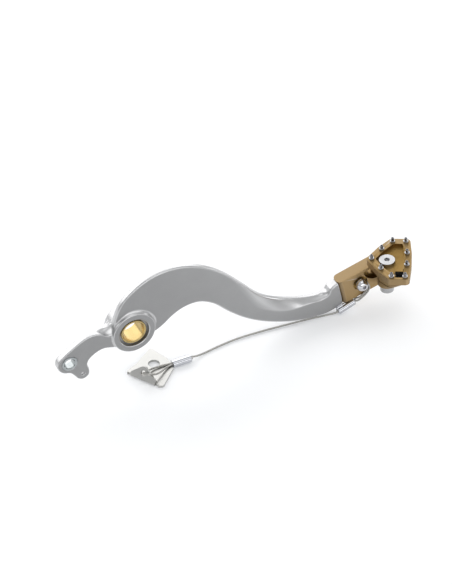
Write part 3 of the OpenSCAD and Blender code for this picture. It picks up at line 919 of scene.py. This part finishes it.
@dataclass
class PedalArm:
    """The forged arm with its pivot boss and push rod lever, and the two bushes in it.

    The lines that give shape and the eyes are in millimetres, as (x, z). web_top has the web's
    foot and crest at each x, and web_rings its share of the crest and of the reach at each y.
    fillet_span has the first and last degree and the step, fillet_runs the degrees in which the
    fillet grows and ends, and fillet_sink how far it reaches into the boss and into the arch.
    overrun is how far a cutter stands out of the face that it starts from.
    """

    boss_d: float = 34.0 * MM
    boss_l: float = 18.0 * MM
    seal_d: float = 24.0 * MM
    seal_depth: float = 4.0 * MM
    bush_d: float = 20.0 * MM
    bush_bore: float = 17.0 * MM
    bush_inset: float = 1.3 * MM
    arm_near: float = -6.0 * MM
    arch_t: float = 5.0 * MM
    tip_end_t: float = 9.0 * MM
    land: float = 4.0 * MM
    edge: float = 0.8 * MM
    lever_near: float = -7.5 * MM
    lever_t: float = 6.0 * MM
    rod_bush_d: float = 12.0 * MM
    rod_bush_bore: float = 8.0 * MM
    rod_bush_proud: float = 0.4 * MM
    spring_hole_d: float = 2.8 * MM
    holder_mid: Triple = (177.1 * MM, -1.25 * MM, -29.2 * MM)
    holder_pitch: float = 15.0
    voxel: float = 0.52 * MM
    rib_steps: int = 8
    crown_steps: int = 5
    crown_height: float = 0.45 * MM
    shoulder_share: float = 0.4
    folded_crown: float = 0.6
    boss_edge: float = 0.7 * MM
    round_sides: int = 128
    small_sides: int = 96
    hole_sides: int = 64
    lever_steps: int = 6
    lever_rounding: float = 0.9 * MM
    mouth: float = 0.5 * MM
    hole_mouth: float = 0.35 * MM
    overrun: float = 1 * MM
    seat_size: Triple = (60 * MM, 20 * MM, 30 * MM)
    softening: float = 0.5
    softenings: int = 4
    fillet_w: float = 4.8 * MM
    fillet_h: float = 2.9 * MM
    fillet_span: tuple[int, int, int] = (-16, 132, 4)
    fillet_runs: Pair = (34.0, 44.0)
    fillet_steps: int = 9
    fillet_rise: float = 1.5
    fillet_sink: Pair = (2 * MM, 1 * MM)
    web_foot: float = -4.0
    web_top: tuple[Triple, ...] = (
        (-31, 7.6, 7.8), (-28, 7.2, 7.9), (-25, 5.9, 7.8), (-22, 4.2, 7.8), (-19.5, 3.2, 8.2),
        (-17, 3.2, 9.2), (-14, 4.4, 10.6),
    )
    web_rings: tuple[Triple, ...] = (
        (-7.2, 0.0, 1.0), (-6.2, 0.16, 1.0), (-5.2, 0.44, 1.0), (-4.2, 0.7, 1.0), (-3.2, 0.88, 1.0),
        (-2.2, 0.97, 1.0), (-1.6, 1.0, 0.96), (-0.6, 0.97, 0.64), (0.8, 0.9, 0.44),
        (2.4, 0.78, 0.29), (4.2, 0.62, 0.16), (6.0, 0.42, 0.06), (7.4, 0.25, 0.0),
    )
    rod_eye: Pair = (-51.6, -10.8)
    spring_eye: Pair = (-41.8, -24.4)
    crown: tuple[Pair, ...] = (
        (-16, 6), (-13.4, 16.5), (-8, 27.6), (1.6, 36.6), (13.8, 43.2), (27.4, 46.1),
        (42.5, 44.8), (57, 39.4), (69, 31.9), (80, 22.2), (92.5, 8.8), (106.5, -6.6),
        (120.5, -16.4), (135, -22.4), (149.5, -26.4), (160.5, -27.8), (165.8, -25.8),
        (168.6, -21.4), (174.5, -18.4),
    )
    under: tuple[Pair, ...] = (
        (15, -8), (19.6, -6.6), (25.4, -3.2), (32, 1.9), (38.4, 5.4), (44.5, 7.2), (51, 7.6),
        (58, 6), (67.5, 0.2), (79.5, -11.6), (93, -22.7), (107, -31.2), (121.5, -37.6),
        (135.5, -42), (150, -44.4), (161, -45), (166.5, -44.6), (171, -43.6), (179.6, -40.2),
    )
    crease: tuple[Pair, ...] = (
        (0, -4), (8, 0), (14, 4), (19, 8), (26, 10), (36, 11), (46, 11.2), (57.4, 10.2),
        (68, 6.2), (79.4, -0.6), (92.8, -9.6), (106.9, -19.2), (121, -26.2), (135, -29.8),
        (149.6, -29), (160.6, -29.2), (166, -27), (168.8, -22.6), (174.7, -19.4),
    )
    swell: tuple[float, ...] = (
        0, 0, 0, 0, 0, 0, 0, 0, 0.05, 0.2, 0.45, 0.75, 0.95, 1, 1, 1, 1, 1, 1,
    )
    bevel: tuple[float, ...] = (
        0, 0, 0, 0, 0, 0, 0, 0.02, 0.15, 0.4, 0.7, 0.9, 1, 1.1, 1.25, 1.2, 0.6, 0.1, 0,
    )
    lever_edge: tuple[Pair, ...] = (
        (-9, 6), (-17.5, 1.6), (-23.4, 5.6), (-30.5, 8.4), (-38, 7.4), (-46.3, 3.2), (-55, -2.6),
        (-60.6, -8), (-60.8, -13.6), (-57, -18.4), (-51.6, -20.4), (-48.8, -23.6), (-45.6, -28),
        (-41.4, -29.4), (-37.2, -27), (-36.6, -22), (-37.8, -16.4), (-35, -11.6), (-29, -8),
        (-23.4, -7), (-16, -9), (-8, -12),
    )

    def build(self) -> None:
        """Forges the blank, machines it, keeps it inside the CAD box and fits the bushes."""
        arm = carve(self._blank(), self._cutters())
        arm.name = arm.data.name = "forged_pedal_arm"
        for vertex in arm.data.vertices:
            vertex.co = [min(max(c, low), high) for c, low, high in zip(vertex.co, *CAD_BOX)]
        dress(arm, FINISHES.forging, Body.PEDAL, "pedal_arm", crease=35.0)
        self._bushes()

    def _about_y(self, x: float = 0.0, y: float = 0.0, z: float = 0.0) -> Matrix:
        """A place whose local Z axis points along the pivot, away from the camera."""
        return Matrix.Translation((x, y, z)) @ Matrix.Rotation(-math.pi / 2, 4, "X")

    def _rib(self, low: Point, mid: Point, top: Point, thick: float, land: float) -> np.ndarray:
        """One cross-section of the arm, from its far underside round to its near one.

        Args:
            low: The lower edge in millimetres, as (x, z).
            mid: The crease of the near face.
            top: The upper edge.
            thick: The thickness of the arm.
            land: The part of it that the bevel leaves at the upper edge.

        Returns:
            The points of the cross-section.
        """
        low, mid, top = (np.array(p) * MM for p in (low, mid, top))
        up = (top - low) / np.linalg.norm(top - low)
        near, far, edge = self.arm_near, self.arm_near + thick, self.edge
        start = far - land
        rows = [
            (low, far - edge, 0), (low, far, edge), (top, far, -edge), (top, far - edge, 0),
            (top, max(near + edge, start + edge * self.shoulder_share), 0),
            (top, max(near, start - edge), -edge),
            (mid, near, 0), (low, near, edge), (low, near + edge, 0),
        ]
        rib = [np.array((q[0] + up[0] * d, y, q[1] + up[1] * d)) for q, y, d in rows]
        shoulder, crease, foot = rib[5:8]
        folded = min(1.0, max(0.0, (thick - land) / self.land))
        above, below = np.linalg.norm(crease - shoulder), np.linalg.norm(foot - crease)
        share = above / (above + below)
        face = []
        for a, b, begin, end in ((shoulder, crease, 0.0, share), (crease, foot, share, 1.0)):
            for t in np.arange(self.crown_steps) / self.crown_steps:
                whole = math.sin(math.pi * (begin + (end - begin) * t))
                half = self.folded_crown * math.sin(math.pi * t)
                crown = self.crown_height * ((1 - folded) * whole + folded * half)
                face.append(a + (b - a) * t - np.array((0.0, crown, 0.0)))
        return np.array([*rib[:5], *face, *rib[7:]])

    def _arm(self) -> Item:
        """Lofts the arm through its cross-sections.

        Returns:
            The arm before forging.
        """
        lines = [smooth_line(p, self.rib_steps) for p in (self.under, self.crease, self.crown)]
        shares = []
        for row in (self.swell, self.bevel):
            shares.append(smooth_line([(v, 0) for v in row], self.rib_steps)[:, 0])
        rings = []
        for low, mid, top, fat, cut in zip(*lines, *shares):
            thick = self.arch_t + (self.tip_end_t - self.arch_t) * fat
            land = thick + (self.land - thick) * min(1.0, max(0.0, cut))
            rings.append(self._rib(low, mid, top, thick, land))
        return new_object("arm_blank", *skin_rings(rings))

    def _blank(self) -> Item:
        """Joins arm, boss, lever, fillet and web into one forging with soft edges.

        Returns:
            The forging before it is machined.
        """
        bar = rounded_bar(self.boss_d / 2, self.boss_l / 2, self.boss_edge)
        blank = self._arm()
        boss = turned("boss_blank", bar, self._about_y(), self.round_sides)
        bpy.ops.object.select_all(action="DESELECT")
        for item in (blank, boss, self._lever(), self._fillet(), self._web()):
            item.select_set(True)
        bpy.context.view_layer.objects.active = blank
        bpy.ops.object.join()
        forge = blank.modifiers.new("forge", "REMESH")
        forge.mode, forge.voxel_size = "VOXEL", self.voxel
        soften = blank.modifiers.new("soften", "SMOOTH")
        soften.factor, soften.iterations = self.softening, self.softenings
        return apply_modifiers(blank)

    def _lever(self) -> Item:
        """The flat lever plate with its long edges rounded.

        Returns:
            The lever before forging.
        """
        outline = smooth_line(self.lever_edge, self.lever_steps) * MM
        sides = (self.lever_near, self.lever_near + self.lever_t)
        rings = [np.array([(x, y, z) for x, z in outline]) for y in sides]
        lever = new_object("lever_blank", *skin_rings(rings))
        return ease_edges(lever, self.lever_rounding, angle=50.0, segments=3)

    def _fillet(self) -> Item:
        """The hollow fillet where the near end of the boss meets the arch, run out at both ends.

        Returns:
            The fillet before forging.
        """
        (start, end, step), (run_in, run_out) = self.fillet_span, self.fillet_runs
        r = self.boss_d / 2
        inside, below = r - self.fillet_sink[0], -self.fillet_sink[1]
        rings = []
        for degrees in range(start + step, end, step):
            swell = min(1.0, (degrees - start) / run_in, (end - degrees) / run_out)
            wide, high = self.fillet_w * swell, self.fillet_h * min(1.0, self.fillet_rise * swell)
            turns = quarter_turn(self.fillet_steps)
            curve = [(r + wide - wide * math.sin(a), high - high * math.cos(a)) for a in turns]
            profile = [(inside, below), (r + wide, below), *curve, (inside, high)]
            c, s = math.cos(math.radians(degrees)), math.sin(math.radians(degrees))
            rings.append(np.array([(q * c, self.arm_near - lift, q * s) for q, lift in profile]))
        return new_object("fillet_blank", *skin_rings(rings))

    def _web(self) -> Item:
        """The sweep from the top of the lever up into the barrel of the boss.

        Returns:
            The web before forging.
        """
        root = self.web_top[-1][0]
        rings = []
        for y, share, reach in self.web_rings:
            ring = [
                (root + (x - root) * reach, y, foot + (crest - foot) * share)
                for x, foot, crest in self.web_top
            ]
            ring += [(x, y, self.web_foot) for x in (ring[-1][0], ring[0][0])]
            rings.append(np.array(ring) * MM)
        return new_object("web_blank", *skin_rings(rings))

    def _cutters(self) -> list[Item]:
        """The bore, the seal recesses, the lever holes and the seat of the tip holder.

        Returns:
            The cutters.
        """
        half, seal, mouth = self.boss_l / 2, self.seal_d / 2, self.mouth
        outside = -half - self.overrun
        bore = [
            (0, outside), (seal + mouth, outside), (seal + mouth, -half),
            (seal, mouth - half), (seal, self.seal_depth - half),
            (self.bush_d / 2, self.seal_depth - half),
        ]
        cutters = [turned("bore_cutter", mirrored(bore), self._about_y(), self.round_sides)]
        reach, ease = self.lever_t / 2, self.hole_mouth
        middle, outside = self.lever_near + reach, -reach - self.overrun
        for name, (x, z), radius in (
            ("rod_hole_cutter", self.rod_eye, self.rod_bush_d / 2),
            ("spring_hole_cutter", self.spring_eye, self.spring_hole_d / 2),
        ):
            hole = [(0, outside), (radius + ease + self.overrun, outside), (radius, ease - reach)]
            place = self._about_y(x * MM, middle, z * MM)
            cutters.append(turned(name, mirrored(hole), place, self.hole_sides))
        pitch = Matrix.Rotation(-math.radians(self.holder_pitch), 4, "Y")
        long, wide, high = self.seat_size
        place = Matrix.Translation(self.holder_mid) @ pitch
        cutters.append(make_box("seat_cutter", place, (0, long), (-wide, wide), (-high, high)))
        return cutters

    def _bushes(self) -> None:
        """The brass bush of the pivot and the steel bush of the push rod pin."""
        ring = bush_ring(self.boss_l / 2 - self.bush_inset, self.bush_bore / 2, self.bush_d / 2)
        place = self._about_y()
        brass = turned("brass_pivot_bush", ring, place, self.round_sides, closed=True)
        dress(brass, FINISHES.brass, Body.PEDAL, "pivot_bush", crease=30.0)
        half = self.lever_t / 2
        ring = bush_ring(half + self.rod_bush_proud, self.rod_bush_bore / 2, self.rod_bush_d / 2)
        x, z = self.rod_eye
        place = self._about_y(x * MM, self.lever_near + half, z * MM)
        steel = turned("zinc_push_rod_bush", ring, place, self.small_sides, closed=True)
        dress(steel, FINISHES.zinc, Body.PEDAL, "push_rod_bush", crease=30.0)


# Tip holder and folding tip


@dataclass
class TipHolder:
    """The bronze holder on the end of the arm, its cable screw and its knuckle pin."""

    holder_edge: float = 0.35 * MM
    screw_edge: float = 0.2 * MM
    pin_edge: float = 0.3 * MM

    def build(self) -> None:
        """Makes the holder, the cable screw and the knuckle pin."""
        for node, name, edge, finish in (
            ("tip_holder", "milled_tip_holder", self.holder_edge, FINISHES.gold),
            ("cable_screw", "domed_cable_screw", self.screw_edge, FINISHES.polished),
            ("knuckle_pin", "ground_knuckle_pin", self.pin_edge, FINISHES.stainless),
        ):
            dress(machined_copy(node, name, edge), finish, Body.PEDAL, node)


@dataclass
class FoldingTip:
    """The hub that folds back on its pin, and the studded plate bolted to it.

    window_studs are the two rear studs beside the window and one that lies inward of them.
    """

    stud_count: int = 9
    hub_edge: float = 0.3 * MM
    bolt_edge: float = 0.2 * MM
    plate_edge: float = 0.6 * MM
    stud_edge: float = 0.15 * MM
    pin_height: float = 2.45 * MM
    window_studs: tuple[int, int, int] = (8, 7, 5)
    window_width: float = 6.2 * MM
    window_reach: float = 10.6 * MM
    window_start: float = -0.8 * MM
    window_share: float = 0.58
    window_rise: float = 0.6 * MM
    hub_window: Pair = (-1.5 * MM, 5.0 * MM)
    plate_window: Pair = (-1.0 * MM, 10.0 * MM)

    def build(self) -> None:
        """Makes the hub with its bolt and nut, and the plate with its studs."""
        hub = machined_copy("tip_hub", "milled_tip_hub", self.hub_edge)
        self._open_window(dress(hub, FINISHES.gold, Body.KNUCKLE, "tip_hub"), self.hub_window)
        for node, name in (("tip_bolt", "low_head_tip_bolt"), ("tip_nut", "tip_bolt_nut")):
            item = machined_copy(node, name, self.bolt_edge)
            dress(item, FINISHES.stainless, Body.KNUCKLE, node)
        plate = machined_copy("tip_plate", "studded_tip_plate", self.plate_edge)
        self._open_window(dress(plate, FINISHES.gold, Body.TIP, "tip_plate"), self.plate_window)
        for number in range(1, self.stud_count + 1):
            node = f"stud_{number}"
            stud = machined_copy(node, f"traction_{node}", self.stud_edge)
            self._blacken_pin(dress(stud, FINISHES.stainless, Body.TIP, node))

    def _blacken_pin(self, stud: Item) -> None:
        """Gives the pin of a stud, above its collar, the darker finish.

        Args:
            stud: The dressed stud.
        """
        stud.data.materials.append(FINISHES.stud.material())
        foot = max(v.co.z for v in stud.data.vertices) - self.pin_height
        for face in stud.data.polygons:
            if face.center.z > foot:
                face.material_index = 1

    def _open_window(self, item: Item, span: Pair) -> None:
        """Opens the window between the two rear studs, through the plate and into the hub, and
        colours its cut walls near-black as painted shade.

        Args:
            item: The dressed plate or hub.
            span: The window's lower and upper ends, from just above the underside of the plate.
        """
        left, right, inner = map(self._stud_foot, self.window_studs)
        along = (right - left).normalized()
        up = Vector((0, 0, 1))
        inward = up.cross(along)
        if inward.dot(inner - left) < 0:
            inward = -inward
        middle = left.lerp(right, self.window_share)
        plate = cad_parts["tip_plate"].data
        middle.z = min(v.co.z for v in plate.vertices) + self.window_rise
        axes = Matrix((along, inward, up)).transposed().to_4x4()
        half, start = self.window_width / 2, self.window_start
        reach = (start, start + self.window_reach)
        place = Matrix.Translation(middle) @ axes
        cutter = make_box("window_cutter", place, (-half, half), reach, span)
        # The cut walls take the near-black painted shade.
        dark = FINISHES.shade.material()
        for made in (item.data.materials[0], dark):
            cutter.data.materials.append(made)
        item.data.materials.append(dark)
        for face in cutter.data.polygons:
            face.material_index = 1
        carve(item, [cutter])

    def _stud_foot(self, number: int) -> Vector:
        """Centre of a stud at its foot."""
        low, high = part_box(f"stud_{number}")
        return Vector(((low[0] + high[0]) / 2, (low[1] + high[1]) / 2, low[2]))


def main() -> None:
    """Builds the scene."""
    logging.basicConfig(level=logging.INFO, format="%(name)s: %(message)s")
    for part in (Studio(), SafetyCable(), PedalArm(), TipHolder(), FoldingTip()):
        part.build()


if __name__ == "__main__":
    main()
